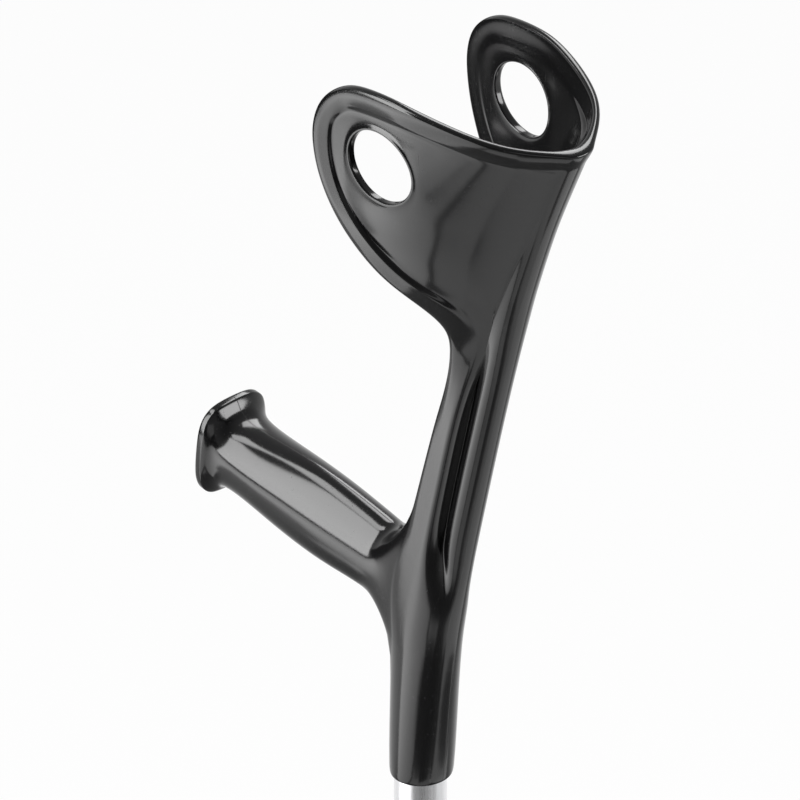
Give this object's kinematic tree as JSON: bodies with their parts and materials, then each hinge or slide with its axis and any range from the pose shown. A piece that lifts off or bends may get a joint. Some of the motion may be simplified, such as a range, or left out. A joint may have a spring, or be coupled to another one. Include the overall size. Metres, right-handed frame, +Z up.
{
  "type": "forearm crutch",
  "caption": "Moulded open arm cuff, neck, forward hand grip and tube socket on a height-adjustable aluminium leg with a snap button and a rubber foot.",
  "frame": {"origin": "centre of the rubber foot's sole on the tube axis, with the leg pushed in to its shortest setting", "axes": "+Z up along the tube axis, +X forward the way the hand grip points, +Y to the user's left"},
  "size_m": [0.2196, 0.0904, 1.0257],
  "materials": {
    "black_polypropylene": "glossy moulded",
    "anodised_aluminium": "satin anodised",
    "leg_aluminium": "satin anodised",
    "collar_plastic": "fine texture",
    "bush_acetal": "smooth moulded",
    "plated_steel": "bright zinc plate",
    "spring_steel": "blued strip",
    "foot_rubber": "matt",
    "washer_steel": "plain stamped"
  },
  "bodies": {
    "handle_unit": {"handle_moulding": "black_polypropylene", "upper_tube": "anodised_aluminium", "anti_rattle_collar": "collar_plastic"},
    "leg": {"lower_tube": "leg_aluminium", "guide_bush": "bush_acetal", "leaf_spring": "spring_steel", "ferrule": "foot_rubber", "ferrule_washer": "washer_steel"},
    "button": {"snap_button": "plated_steel"}
  },
  "joints": [
    {"name": "leg_height", "type": "slide", "parent": "handle_unit", "child": "leg", "axis": [0, 0, -1], "range_m": [0, 0.24]},
    {"name": "button_press", "type": "slide", "parent": "leg", "child": "button", "axis": [1, 0, 0], "range_m": [0, 0.0039], "stiffness_N_per_m": 1000, "springref_m": -0.005, "deforming": ["leaf_spring"]}
  ]
}
